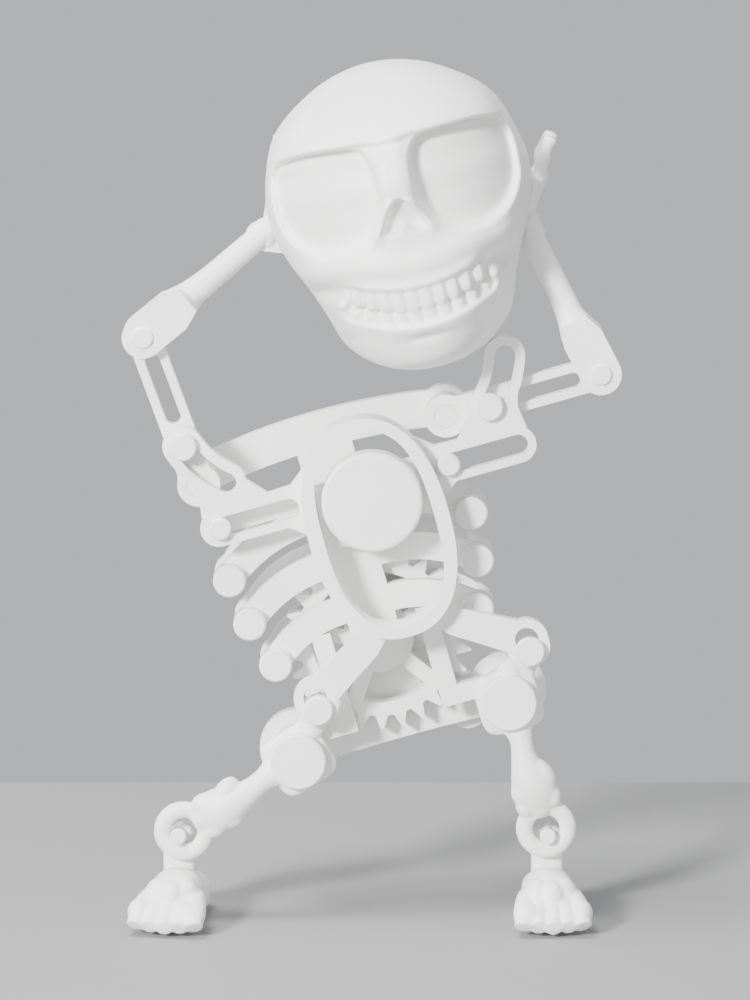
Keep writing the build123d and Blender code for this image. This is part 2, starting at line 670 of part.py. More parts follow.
def foot(word, side):
    """Foot with its heel post, five toes and the ankle pin that carries the leg's eyelet."""
    x = side * STANCE / 2
    post_front = LINKS.back + 0.3
    post_back = post_front + 4.4
    top = ANKLE_HEIGHT + ANKLE_PIN / 2 + POST_WALL
    shelf = ANKLE_HEIGHT - EYELET / 2 - EYELET_SHIFT - 0.9
    toe = FOOT_WIDE / TOE_COUNT
    with BuildPart(mode=Mode.PRIVATE) as sole:
        with BuildSketch(Plane(origin=(x - FOOT_WIDE / 2, 0, 0), x_dir=(0, 1, 0), z_dir=(1, 0, 0))):
            Polygon((FOOT_BACK, 0), (FOOT_BACK, 5.0), (post_back, shelf), (-8.6, shelf), (-12.5, 6.8),
                    (TOE_ROOM - FOOT_FRONT, 4.6), (TOE_ROOM - FOOT_FRONT, 0), align=None)
        extrude(amount=FOOT_WIDE)
        with BuildSketch(Plane.XY):
            with Locations((x, TOE_ROOM - FOOT_FRONT)):
                with GridLocations(toe, 1, TOE_COUNT, 1):
                    Circle(toe / 2 - 0.05)
        extrude(amount=4.0)
    with BuildPart() as body:
        ankle_line = Axis((x, between(LINKS.back, LINKS.front, 0.5), 0), (0, 0, 1))
        add(sole.part.rotate(ankle_line, side * TOES_OUT[word]))
        with BuildSketch(Plane(origin=(x, post_back, 0), x_dir=(1, 0, 0), z_dir=(0, -1, 0))):
            with Locations((0, (top + POST_FOOT) / 2)):
                Rectangle(FOOT_POST_WIDE, top - POST_FOOT)
        extrude(amount=post_back - post_front)
        with BuildSketch(Plane(origin=(x, post_back, ANKLE_HEIGHT), x_dir=(1, 0, 0), z_dir=(0, -1, 0))):
            Circle(ANKLE_PIN / 2 + PUSH_FIT)
        extrude(amount=post_back - post_front, mode=Mode.SUBTRACT)
    keep(body.part, f"foot_{word}")
    head = Layer(LINKS.front - 0.3, LINKS.front - 0.3 - 1.0)
    pivot = Pose(x, ANKLE_HEIGHT, 0)
    round_pin(f"ankle_pin_{word}", pivot, ANKLE_PIN, Layer(post_back, head.back), ANKLE_HEAD, head)


# ---------------------------------------------------------------- arms
ARM_WIDE = 6.4
ARM_SLOT = 3.0
CLEVIS_WEB = 5.4           # elbow pivot to the web that joins the forearm's two cheeks
CLEVIS_WIDE = 8.0
ELBOW_HEAD = 4.2
ELBOW_HEAD_THICK = 0.6
CLEVIS_CHEEK = 2.4
CHEEK_FRONT = Layer(LINKS.front - 0.3, LINKS.front - 0.3 - CLEVIS_CHEEK)
CHEEK_BACK = Layer(LINKS.back + 0.3 + CLEVIS_CHEEK, LINKS.back + 0.3)


def upper_arm(word, side):
    """Slotted arm bar, the peg that the yoke drives, and the elbow pin."""
    pose = arm_pose(side)
    slot_start = ARM_PEG + PEG / 2 + 2.6
    slot_end = ARM_LENGTH - 4.0
    with BuildPart() as arm:
        with BuildSketch(pose.plane(LINKS.back)):
            with Locations((ARM_LENGTH / 2, 0)):
                SlotCenterToCenter(ARM_LENGTH, ARM_WIDE)
            Circle(4.2)
            with Locations((ARM_PEG, 0)):
                Circle(3.3)
            with Locations(((slot_start + slot_end) / 2, 0)):
                SlotOverall(slot_end - slot_start, ARM_SLOT, mode=Mode.SUBTRACT)
            Circle(SHOULDER_PIN / 2 + RUN_FIT, mode=Mode.SUBTRACT)
            with Locations((ARM_PEG, 0)):
                Circle(PEG / 2 + PUSH_FIT, mode=Mode.SUBTRACT)
            with Locations((ARM_LENGTH, 0)):
                Circle(ELBOW_PIN / 2 + RUN_FIT, mode=Mode.SUBTRACT)
        extrude(amount=LINKS.deep)
    keep(arm.part, f"upper_arm_{word}")
    round_pin(f"arm_peg_{word}", pose.moved_to(ARM_PEG, 0), PEG, Layer(LINKS.back, HEADS.back),
              PIN_HEAD - 0.4, HEADS)


def forearm(word, side):
    """Forked elbow end, tapered bone that slopes back behind the head, and the head tab."""
    pose = forearm_pose(side)
    pivot = head_pivot(side)
    eyes = [pivot]
    if side > 0:
        now = forearm_pose(side, 0.5)
        head = head_pose(0.5)
        half = hypot(*[a - b for a, b in zip(HEAD_PINS[1], HEAD_PINS[-1])]) / 2
        eyes.append(now.local(*head.at(half - HEAD_ASIDE, -HEAD_OVER_PINS)))
    start = pose.at(CLEVIS_WEB + 1.5, 0)
    end = pose.at(FOREARM_LENGTH, 0)
    depth = (between(LINKS.back, LINKS.front, 0.5), between(TAB.back, TAB.front, 0.5))
    run = Vector(end[0] - start[0], depth[1] - depth[0], end[1] - start[1])
    with BuildPart() as body:
        for cheek in (CHEEK_FRONT, CHEEK_BACK):
            with BuildSketch(pose.plane(cheek.back)):
                Circle(CLEVIS_WIDE / 2)
                with Locations((CLEVIS_WEB / 2 + 0.8, 0)):
                    Rectangle(CLEVIS_WEB + 1.6, CLEVIS_WIDE)
            extrude(amount=cheek.deep)
        with BuildSketch(pose.plane(CHEEK_BACK.back)):
            Polygon((CLEVIS_WEB, CLEVIS_WIDE / 2), (CLEVIS_WEB, -CLEVIS_WIDE / 2),
                    (CLEVIS_WEB + 2.4, -CLEVIS_WIDE / 2), (CLEVIS_WEB + 6.0, -2.6),
                    (CLEVIS_WEB + 6.0, 2.6), (CLEVIS_WEB + 2.4, CLEVIS_WIDE / 2), align=None)
        extrude(amount=CHEEK_BACK.back - CHEEK_FRONT.front)
        with BuildSketch(Plane(origin=(start[0], depth[0], start[1]), z_dir=run)):
            Circle(2.6)
        with BuildSketch(Plane(origin=(end[0], depth[1], end[1]), z_dir=run)):
            Circle(2.3)
        loft()
        with BuildSketch(pose.plane(TAB.back)):
            with BuildSketch(mode=Mode.PRIVATE) as tab:
                with Locations((FOREARM_LENGTH - 1.5, 0)):
                    Circle(2.8)
                with Locations(*eyes):
                    Circle(HEAD_PIN / 2 + 2.2)
                make_hull()
            add(tab.sketch)
        extrude(amount=TAB.deep)
        with BuildSketch(pose.plane(TAB.back)):
            clearance = RUN_FIT if side < 0 else SLIDE_FIT
            with Locations(*eyes):
                Circle(HEAD_PIN / 2 + clearance)
            if len(eyes) > 1:
                make_hull()
        extrude(amount=TAB.deep, mode=Mode.SUBTRACT)
        with BuildSketch(pose.plane(CHEEK_BACK.back)):
            Circle(ELBOW_PIN / 2 + PUSH_FIT)
        extrude(amount=CHEEK_BACK.back - CHEEK_FRONT.front, mode=Mode.SUBTRACT)
    keep(body.part, f"forearm_{word}")
    head_layer = Layer(CHEEK_FRONT.front, CHEEK_FRONT.front - ELBOW_HEAD_THICK)
    round_pin(f"elbow_pin_{word}", pose, ELBOW_PIN, Layer(CHEEK_BACK.back, CHEEK_FRONT.front),
              ELBOW_HEAD, head_layer)


def hand(word, side):
    """Hand on edge, palm towards the head, on the end of the forearm bone."""
    turn = -side * HAND_BEND
    pose = forearm_pose(side).moved_to(FOREARM_LENGTH + 2.6, -side * 2.4, turn)
    with BuildPart() as body:
        with BuildSketch(pose.plane(HAND.back)):
            with Locations((HAND_LENGTH / 2 - 0.8, 0)):
                SlotOverall(HAND_LENGTH, HAND_THICK)
        extrude(amount=HAND.deep)
    keep(body.part, f"hand_{word}")


# ---------------------------------------------------------------- head
def head_pins():
    """World x and z of the two head pivots at rest."""
    return {side: forearm_pose(side).at(*head_pivot(side)) for side in SIDES.values()}


HEAD_PINS = head_pins()


def skull():
    """Hollow skull with a flat back, eye sockets, nose hole and mouth line."""
    up = HEAD.plane(0).y_dir
    centre = Vector(HEAD.x, SKULL_BACK, HEAD.z)
    spin = Axis(centre, -up)
    face_front = SKULL_BACK - SKULL_HALF - 4.0
    with BuildPart() as head:
        with BuildSketch(HEAD.plane(SKULL_BACK)):
            with BuildLine():
                crown = Line((0, -SKULL_BOTTOM), (0, SKULL_TOP))
                Spline(crown @ 1, (0.68 * SKULL_HALF, 0.80 * SKULL_TOP), (SKULL_HALF, 0.20 * SKULL_TOP),
                       (0.82 * SKULL_HALF, -0.36 * SKULL_BOTTOM), (0.60 * SKULL_HALF, -0.74 * SKULL_BOTTOM),
                       (0.34 * SKULL_HALF, -0.95 * SKULL_BOTTOM), crown @ 0, tangents=[(1, 0), (-1, 0)])
            make_face()
        revolve(axis=spin, revolution_arc=180)
        with BuildSketch(HEAD.plane(SKULL_BACK - EYE_FLOOR)):
            with Locations((-EYE_OUT, EYE_UP), (EYE_OUT, EYE_UP)):
                Ellipse(EYE_WIDE / 2, EYE_HIGH / 2)
        extrude(amount=SKULL_HALF, mode=Mode.SUBTRACT)
        with BuildSketch(HEAD.plane(SKULL_BACK - EYE_FLOOR - 4.0)):
            Polygon((-4.0, -9.4), (4.0, -9.4), (0, -2.6), align=None)
        extrude(amount=SKULL_HALF, mode=Mode.SUBTRACT)
        with BuildSketch(HEAD.plane(face_front)):
            with Locations((0, -0.56 * SKULL_BOTTOM)):
                SlotOverall(MOUTH_WIDE, 1.2)
        extrude(amount=face_front - (SKULL_BACK - 17.0), mode=Mode.SUBTRACT)
        with BuildSketch(HEAD.plane(SKULL_BACK - 2.0)):
            with BuildLine():
                bore = Line((0, -0.62 * SKULL_VOID), (0, SKULL_VOID))
                Spline(bore @ 1, (0.86 * SKULL_VOID, 0.34 * SKULL_VOID), bore @ 0,
                       tangents=[(1, 0), (-1, 0)])
            make_face()
        revolve(axis=Axis(Vector(HEAD.x, SKULL_BACK - 2.0, HEAD.z), -up), revolution_arc=180,
                mode=Mode.SUBTRACT)
    keep(head.part, "skull")
    for word, side in SIDES.items():
        pivot = Pose(HEAD_PINS[side][0], HEAD_PINS[side][1], HEAD.angle)
        cap = Layer(TAB.back + 0.3 + 1.2, TAB.back + 0.3)
        round_pin(f"head_pin_{word}", pivot, HEAD_PIN, Layer(cap.front, SKULL_BACK), HEAD_PIN_CAP, cap)


# ---------------------------------------------------------------- the whole figure
def build_figure():
    """Make every piece at rest."""
    front_ribs()
    back_frame()
    torso_pins()
    yoke()
    eccentric()
    handle()
    for word, side in SIDES.items():
        leg(word, side)
        foot(word, side)
        upper_arm(word, side)
        forearm(word, side)
        hand(word, side)
    skull()


build_figure()
boxes = [piece.bounding_box() for piece in pieces.values()]
MIDDLE_X = (min(box.min.X for box in boxes) + max(box.max.X for box in boxes)) / 2
MIDDLE_Y = (min(box.min.Y for box in boxes) + max(box.max.Y for box in boxes)) / 2
TOTAL_HIGH = max(box.max.Z for box in boxes)
print(f"tilt {TILT:.2f} stance {STANCE:.2f} head lean {HEAD_LEAN:.2f} height {TOTAL_HIGH:.2f}")
os.makedirs("parts", exist_ok=True)
for name, piece in pieces.items():
    placed = piece.moved(Location((-MIDDLE_X, -MIDDLE_Y, 0)))
    placed.label = name
    export_step(placed, f"parts/{name}.step")
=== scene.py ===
"""Dancing skeleton figure: skull, bones, printed plastic and studio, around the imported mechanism.

The mechanism's flat plates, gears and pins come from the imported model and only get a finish. The skull,
hands, forearm bones, legs and feet are made here, from surfaces worked out on grids and fused into one skin.
Local sizes are in millimetres: u along a body, v across it in the XZ plane, and d in depth (+Y).
"""
from __future__ import annotations

import json
import logging
import math
from dataclasses import dataclass, field
from enum import Enum
from typing import Any, Iterable

import bmesh
import bpy
import numpy as np
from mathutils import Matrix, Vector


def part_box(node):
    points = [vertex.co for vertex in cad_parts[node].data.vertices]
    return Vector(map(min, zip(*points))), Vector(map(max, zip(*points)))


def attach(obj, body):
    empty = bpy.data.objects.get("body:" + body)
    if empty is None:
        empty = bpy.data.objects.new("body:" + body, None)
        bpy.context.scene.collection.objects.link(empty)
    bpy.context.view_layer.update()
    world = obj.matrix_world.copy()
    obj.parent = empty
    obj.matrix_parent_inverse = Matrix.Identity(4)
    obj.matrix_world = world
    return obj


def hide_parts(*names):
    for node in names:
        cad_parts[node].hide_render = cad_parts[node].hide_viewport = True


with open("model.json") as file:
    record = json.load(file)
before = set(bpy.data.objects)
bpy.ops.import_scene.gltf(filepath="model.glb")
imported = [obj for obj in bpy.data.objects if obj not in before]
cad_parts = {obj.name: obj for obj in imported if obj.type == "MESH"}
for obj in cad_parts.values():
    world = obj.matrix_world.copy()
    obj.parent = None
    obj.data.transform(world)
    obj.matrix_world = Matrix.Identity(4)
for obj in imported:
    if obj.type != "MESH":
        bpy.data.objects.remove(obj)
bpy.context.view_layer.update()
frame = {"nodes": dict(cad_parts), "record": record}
LOG = logging.getLogger("skeleton")
MM = 0.001
BONE_PROUD = 2.2
LINK_HALF = 1.3
PROFILE_STEPS = 600
Array = np.ndarray


class Side(Enum):
    """Which side of the figure, as seen by someone who faces it."""

    LEFT = -1
    RIGHT = 1

    @property
    def word(self) -> str:
        """The side's name in node and body names."""
        return self.name.lower()


class Slot(Enum):
    """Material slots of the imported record."""

    BONE = "bone_plastic"
    WORKS = "works_plastic"
    PIN = "pin_plastic"


# ------------------------------------------------------------------ places
@dataclass(frozen=True)
class Spot:
    """A place and a turn in the XZ plane, at a depth; x, y, z in metres, angle in radians."""

    x: float
    y: float
    z: float
    angle: float = 0.0

    def world(self, points: Array) -> Array:
        """Local (u, d, v) points in millimetres as world points in metres.

        Args:
            points: Array of shape (n, 3).

        Returns:
            Array of shape (n, 3): u and v turned by the angle in XZ, d added to the depth.
        """
        u, d, v = (points * MM).T
        c, s = math.cos(self.angle), math.sin(self.angle)
        return np.stack([self.x + u * c - v * s, self.y + d, self.z + u * s + v * c], axis=1)

    def local(self, point: Iterable[float]) -> tuple[float, float]:
        """The (u, v) in millimetres of a world point."""
        x, _, z = point
        c, s = math.cos(self.angle), math.sin(self.angle)
        dx, dz = x - self.x, z - self.z
        return ((dx * c + dz * s) / MM, (dz * c - dx * s) / MM)


def centre_of(node: str) -> Array:
    """Centre of a CAD node's box, in metres."""
    low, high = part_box(node)
    return (np.array(low) + np.array(high)) / 2


def angle_between(start: Array, end: Array) -> float:
    """Direction from start to end in the XZ plane, in radians."""
    return math.atan2(end[2] - start[2], end[0] - start[0])


# ------------------------------------------------------------------ surfaces
@dataclass(frozen=True)
class Patch:
    """A closed surface: points in millimetres and four-cornered faces."""

    points: Array
    faces: Array

    def placed(self, spot: Spot) -> "Patch":
        """The patch in world metres."""
        return Patch(spot.world(self.points), self.faces)


def grid_faces(rows: int, columns: int, around: bool) -> Array:
    """Faces of a grid of rows by columns, joined round when around is true."""
    last = columns if around else columns - 1
    row, column = np.meshgrid(np.arange(rows - 1), np.arange(last), indexing="ij")
    right = (column + 1) % columns
    corners = [row * columns + column, row * columns + right, (row + 1) * columns + right,
               (row + 1) * columns + column]
    return np.stack(corners, axis=-1).reshape(-1, 4)


def blob(centre: tuple[float, float, float], radii: tuple[float, float, float], turn: float = 0.0,
         square: float = 1.0, rows: int = 17, columns: int = 24) -> Patch:
    """A rounded lump.

    Formula: (ru C(a) C(b), rd C(a) S(b), rv S(a)) for latitude a and longitude b, where C and S are the
    cosine and sine raised to the power square, keeping their sign; then turned in the u-v plane.

    Args:
        centre: Middle (u, d, v).
        radii: Half sizes (u, d, v).
        turn: Turn in the u-v plane, in degrees.
        square: 1 for an ellipsoid, towards 0 for a box.
        rows: Points from pole to pole.
        columns: Points around.

    Returns:
        The closed patch.
    """
    lat, lon = np.meshgrid(np.linspace(-np.pi / 2, np.pi / 2, rows),
                           np.linspace(0, 2 * np.pi, columns, endpoint=False), indexing="ij")

    def power(values: Array) -> Array:
        return np.sign(values) * np.abs(values) ** square

    u = radii[0] * power(np.cos(lat)) * power(np.cos(lon))
    d = radii[1] * power(np.cos(lat)) * power(np.sin(lon))
    v = radii[2] * power(np.sin(lat))
    c, s = math.cos(math.radians(turn)), math.sin(math.radians(turn))
    points = np.stack([centre[0] + u * c - v * s, centre[1] + d, centre[2] + u * s + v * c], axis=-1)
    return Patch(points.reshape(-1, 3), grid_faces(rows, columns, True))


def curve_through(knots: Array, count: int) -> Array:
    """Smooth line through knots: a Catmull-Rom cubic between each pair.

    Args:
        knots: Array (k, n) of points or of values to blend.
        count: Points wanted.

    Returns:
        Array (count, n).
    """
    padded = np.vstack([2 * knots[0] - knots[1], knots, 2 * knots[-1] - knots[-2]])
    place = np.linspace(0, len(knots) - 1, count)
    step = np.minimum(place.astype(int), len(knots) - 2)
    t = (place - step)[:, None]
    p0, p1, p2, p3 = (padded[step + k] for k in range(4))
    return 0.5 * (2 * p1 + (p2 - p0) * t + (2 * p0 - 5 * p1 + 4 * p2 - p3) * t ** 2
                  + (3 * p1 - p0 - 3 * p2 + p3) * t ** 3)


def limb(knots: Iterable[tuple[float, float, float, float, float]], rows: int = 60,
         columns: int = 24) -> Patch:
    """A bone: an oval section carried along a smooth path, with rounded ends.

    Formula: at share t of the path, point = P(t) + across(t) r(t) cos b + depth r(t) k(t) sin b, where P,
    r and k run smoothly through the knots, across is square to the path in the u-v plane, and r falls to
    zero at both ends as the root of 1 - x squared.

    Args:
        knots: (u, d, v, radius, depth ratio) at each knot.
        rows: Sections along the path.
        columns: Points around.

    Returns:
        The closed patch.
    """
    line = curve_through(np.array(list(knots), float), rows)
    path, radius, ratio = line[:, :3], line[:, 3], line[:, 4]
    along = np.gradient(path, axis=0)
    along /= np.maximum(np.linalg.norm(along, axis=1, keepdims=True), 1e-9)
    across = np.stack([-along[:, 2], np.zeros(rows), along[:, 0]], axis=1)
    across /= np.maximum(np.linalg.norm(across, axis=1, keepdims=True), 1e-9)
    deep = np.cross(along, across)
    share = np.linspace(0, 1, rows)
    end = 0.06
    taper = np.sqrt(np.clip(1 - np.clip(1 - np.minimum(share, 1 - share) / end, 0, 1) ** 2, 0, 1))
    b = np.linspace(0, 2 * np.pi, columns, endpoint=False)
    ring = (across[:, None, :] * np.cos(b)[None, :, None]
            + deep[:, None, :] * (ratio[:, None] * np.sin(b)[None, :])[..., None])
    points = path[:, None, :] + ring * (radius * taper)[:, None, None]
    return Patch(points.reshape(-1, 3), grid_faces(rows, columns, True))


def ring_patch(centre: tuple[float, float, float], major: float, minor: float, deep: float,
               rows: int = 48, columns: int = 20) -> Patch:
    """A ring in the u-v plane: an oval section of half sizes minor and deep, carried round a circle."""
    a, b = np.meshgrid(np.linspace(0, 2 * np.pi, rows + 1),
                       np.linspace(0, 2 * np.pi, columns, endpoint=False), indexing="ij")
    reach = major + minor * np.cos(b)
    points = np.stack([centre[0] + reach * np.cos(a), centre[1] + deep * np.sin(b),
                       centre[2] + reach * np.sin(a)], axis=-1)
    return Patch(points.reshape(-1, 3), grid_faces(rows + 1, columns, True))


def new_mesh(name: str, points: Array, faces: Array) -> bpy.types.Object:
    """An object at the origin with this mesh, doubles merged and faces pointing outwards."""
    mesh = bpy.data.meshes.new(name)
    mesh.from_pydata(points.tolist(), [], faces.tolist())
    piece = bpy.data.objects.new(name, mesh)
    bpy.context.scene.collection.objects.link(piece)
    shape = bmesh.new()
    shape.from_mesh(mesh)
    bmesh.ops.remove_doubles(shape, verts=shape.verts, dist=1e-6)
    bmesh.ops.recalc_face_normals(shape, faces=shape.faces)
    shape.to_mesh(mesh)
    shape.free()
    return piece


def fused(name: str, patches: list[Patch], voxel: float, smooth: int = 4,
          floor: float | None = None) -> bpy.types.Object:
    """One skin round overlapping patches, as a printed piece has.

    Args:
        name: The piece's name.
        patches: Closed patches in world metres.
        voxel: Size of the remesh, in millimetres.
        smooth: Passes that soften the joins.
        floor: Height in metres that nothing reaches below, or None.

    Returns:
        The piece, its modifiers applied.
    """
    offsets = np.cumsum([0] + [len(patch.points) for patch in patches[:-1]])
    points = np.vstack([patch.points for patch in patches])
    faces = np.vstack([patch.faces + offset for patch, offset in zip(patches, offsets)])
    piece = new_mesh(name, points, faces)
    remesh = piece.modifiers.new("skin", "REMESH")
    remesh.mode = "VOXEL"
    remesh.voxel_size = voxel * MM
    soften = piece.modifiers.new("soften", "SMOOTH")
    soften.factor = 0.5
    soften.iterations = smooth
    finished = bpy.data.meshes.new_from_object(piece.evaluated_get(bpy.context.evaluated_depsgraph_get()))
    piece.modifiers.clear()
    piece.data = finished
    if floor is not None:
        co = np.empty(len(finished.vertices) * 3)
        finished.vertices.foreach_get("co", co)
        co = co.reshape(-1, 3)
        co[:, 2] = np.maximum(co[:, 2], floor)
        finished.vertices.foreach_set("co", co.ravel())
    finished.polygons.foreach_set("use_smooth", np.ones(len(finished.polygons), bool))
    LOG.info("%s: %d faces", name, len(finished.polygons))
    return piece


# ------------------------------------------------------------------ finishes
class Value:
    """A shader socket that takes part in Python arithmetic."""

    def __init__(self, shader: "Shader", socket: Any) -> None:
        """Keep the shader and the socket."""
        self.shader = shader
        self.socket = socket

    def _math(self, operation: str, left: Any, right: Any) -> "Value":
        """A Math node on two values or numbers."""
        return self.shader.node("ShaderNodeMath", {"operation": operation}, {0: left, 1: right})

    def __add__(self, other: Any) -> "Value":
        """Sum."""
        return self._math("ADD", self, other)

    __radd__ = __add__

    def __sub__(self, other: Any) -> "Value":
        """Difference."""
        return self._math("SUBTRACT", self, other)

    def __rsub__(self, other: Any) -> "Value":
        """Reflected difference."""
        return self._math("SUBTRACT", other, self)

    def __mul__(self, other: Any) -> "Value":
        """Product."""
        return self._math("MULTIPLY", self, other)

    __rmul__ = __mul__


class Shader:
    """A material being built."""

    def __init__(self, name: str) -> None:
        """Start an empty node tree with a Principled shader."""
        self.material = bpy.data.materials.new(name)
        self.material.use_nodes = True
        self.tree = self.material.node_tree
        self.skin = self.tree.nodes["Principled BSDF"]

    def node(self, kind: str, settings: dict[str, Any], inputs: dict[Any, Any], output: Any = 0) -> Value:
        """Any node.

        Args:
            kind: The node's type.
            settings: Attributes to set first, "stops" being a ramp's (place, colour) list.
            inputs: Values or links by socket name or number.
            output: Name or number of the wanted output.

        Returns:
            The output as a Value.
        """
        made = self.tree.nodes.new(kind)
        for key, setting in settings.items():
            if key == "stops":
                for element, (place, colour) in zip(made.color_ramp.elements, setting):
                    element.position = place
                    element.color = colour
            else:
                setattr(made, key, setting)
        for key, value in inputs.items():
            self.feed(made.inputs[key], value)
        return Value(self, made.outputs[output])

    def feed(self, socket: Any, value: Any) -> None:
        """Link a Value to a socket, or set the number or colour on it."""
        if isinstance(value, Value):
            self.tree.links.new(value.socket, socket)
        else:
            socket.default_value = value


@dataclass(frozen=True)
class PrintedPlastic:
    """Warm white printed plastic: faint layer lines, mottled sheen and a slight change of tone."""

    name: str
    bright: tuple[float, float, float, float]
    dull: tuple[float, float, float, float]
    rough: float
    layer_mm: float = 0.28
    layer_depth: float = 0.05
    lumps: float = 0.25

    def build(self) -> bpy.types.Material:
        """Make the material.

        Returns:
            A material whose tone and roughness follow soft noise, and whose bump is layer lines along the
            depth, a sine of y over the layer height, plus a fine grain.
        """
        shader = Shader(self.name)
        where = shader.node("ShaderNodeTexCoord", {}, {}, "Object")
        cloud = shader.node("ShaderNodeTexNoise", {}, {"Vector": where, "Scale": 90.0, "Detail": 3.0}, 0)
        grain = shader.node("ShaderNodeTexNoise", {}, {"Vector": where, "Scale": 2600.0, "Detail": 2.0}, 0)
        tone = shader.node("ShaderNodeValToRGB", {"stops": ((0.32, self.dull), (0.62, self.bright))},
                           {"Fac": cloud})
        parts = shader.node("ShaderNodeSeparateXYZ", {}, {"Vector": where}, "Y")
        wave = shader.node("ShaderNodeMath", {"operation": "SINE"},
                           {0: parts * (2 * math.pi / (self.layer_mm * MM)) + cloud * 3.0})
        height = wave * self.layer_depth + grain * 0.5 + cloud * self.lumps
        bump = shader.node("ShaderNodeBump", {},
                           {"Strength": 0.35, "Distance": 0.00012, "Height": height}, 0)
        shader.feed(shader.skin.inputs["Base Color"], tone)
        shader.feed(shader.skin.inputs["Roughness"], cloud * 0.14 + (self.rough - 0.07))
        shader.feed(shader.skin.inputs["Normal"], bump)
        shader.skin.inputs["IOR"].default_value = 1.46
        shader.skin.inputs["Subsurface Weight"].default_value = 0.05
        shader.skin.inputs["Subsurface Radius"].default_value = (0.0012, 0.0011, 0.0009)
        shader.skin.inputs["Subsurface Scale"].default_value = 1.0
        return shader.material


FINISHES = {
    Slot.BONE: PrintedPlastic("bone_plastic", (0.93, 0.925, 0.905, 1), (0.90, 0.893, 0.87, 1), 0.46),
    Slot.WORKS: PrintedPlastic("works_plastic", (0.93, 0.926, 0.91, 1), (0.90, 0.895, 0.875, 1), 0.42,
                               layer_depth=0.03, lumps=0.12),
    Slot.PIN: PrintedPlastic("pin_plastic", (0.935, 0.93, 0.915, 1), (0.905, 0.90, 0.885, 1), 0.34,
                             layer_depth=0.02, lumps=0.08),
}


@dataclass
class Studio:
    """Floor, camera and lights; sizes and places in metres, rise and turn in degrees, powers in watts."""

    aim: tuple[float, float, float] = (0.0006, -0.004, 0.0845)
    distance: float = 0.95
    rise: float = 10.0
    turn: float = 0.0
    frame_wide: float = 0.1465
    far_edge: float = 0.114
    floor_reach: float = 6.0
    floor_tone: tuple[float, float, float, float] = (0.30, 0.30, 0.30, 1)
    sky_tone: tuple[float, float, float, float] = (0.95, 0.97, 1.0, 1)
    sky_strength: float = 0.62
    lamps: tuple[tuple[str, tuple[float, float, float], float, float], ...] = (
        ("key", (-0.62, -0.92, 0.50), 0.2, 34.0),
        ("fill", (0.8, -0.5, 0.3), 0.6, 2.0),
        ("top", (-0.25, -0.20, 0.95), 0.35, 11.0),
    )

    def plain(self, name: str, colour: tuple[float, float, float, float]) -> bpy.types.Material:
        """A dull paper-like material for the floor."""
        shader = Shader(name)
        where = shader.node("ShaderNodeTexCoord", {}, {}, "Object")
        soft = shader.node("ShaderNodeTexNoise", {}, {"Vector": where, "Scale": 6.0}, 0)
        shader.feed(shader.skin.inputs["Roughness"], soft * 0.1 + 0.8)
        shader.skin.inputs["Base Color"].default_value = colour
        return shader.material

    def sheet(self, name: str, corners: list[tuple[float, float, float]],
              colour: tuple[float, float, float, float]) -> None:
        """One flat stage sheet."""
        mesh = bpy.data.meshes.new(name)
        mesh.from_pydata(corners, [], [(0, 1, 2, 3)])
        sheet = bpy.data.objects.new(name, mesh)
        bpy.context.scene.collection.objects.link(sheet)
        mesh.materials.append(self.plain(name, colour))

    def light(self, name: str, place: tuple[float, float, float], size: float, power: float) -> None:
        """An area lamp aimed at the figure."""
        lamp = bpy.data.lights.new(name, "AREA")
        lamp.size = size
        lamp.energy = power
        holder = bpy.data.objects.new(name, lamp)
        bpy.context.scene.collection.objects.link(holder)
        holder.location = place
        aim = np.array(self.aim) - np.array(place)
        holder.rotation_euler = direction_euler(aim)

    def build(self) -> None:
        """Make the stage, the camera and the lights."""
        far, back = self.floor_reach, self.far_edge
        self.sheet("floor", [(-far, -far, 0), (far, -far, 0), (far, back, 0), (-far, back, 0)],
                   self.floor_tone)
        camera = bpy.data.cameras.new("camera")
        camera.sensor_fit = "HORIZONTAL"
        camera.lens = camera.sensor_width * self.distance / self.frame_wide
        camera.clip_start = 0.01
        holder = bpy.data.objects.new("camera", camera)
        bpy.context.scene.collection.objects.link(holder)
        rise, turn = math.radians(self.rise), math.radians(self.turn)
        away = np.array([math.sin(turn) * math.cos(rise), -math.cos(turn) * math.cos(rise),
                         math.sin(rise)])
        holder.location = np.array(self.aim) + away * self.distance
        holder.rotation_euler = direction_euler(-away)
        bpy.context.scene.camera = holder
        for name, place, size, power in self.lamps:
            self.light(name, place, size, power)
        world = bpy.data.worlds.new("studio")
        bpy.context.scene.world = world
        world.use_nodes = True
        sky = world.node_tree.nodes["Background"]
        sky.inputs["Color"].default_value = self.sky_tone
        sky.inputs["Strength"].default_value = self.sky_strength


def direction_euler(aim: Array) -> tuple[float, float, float]:
    """Euler turn that points an object's -Z along aim, its top upwards."""
    flat = math.hypot(aim[0], aim[1])
    return (math.atan2(flat, -aim[2]), 0.0, math.atan2(-aim[0], aim[1]))


# ------------------------------------------------------------------ skull
def step_mask(value: Array, inner: float, outer: float) -> Array:
    """1 below inner, 0 above outer, smooth between."""
    t = np.clip((outer - value) / (outer - inner), 0, 1)
    return t * t * (3 - 2 * t)


def mound(x: Array, z: Array, at: tuple[float, float], size: tuple[float, float]) -> Array:
    """A bell: e to the minus of the squared distance from at, measured in sizes."""
    return np.exp(-((x - at[0]) / size[0]) ** 2 - ((z - at[1]) / size[1]) ** 2)


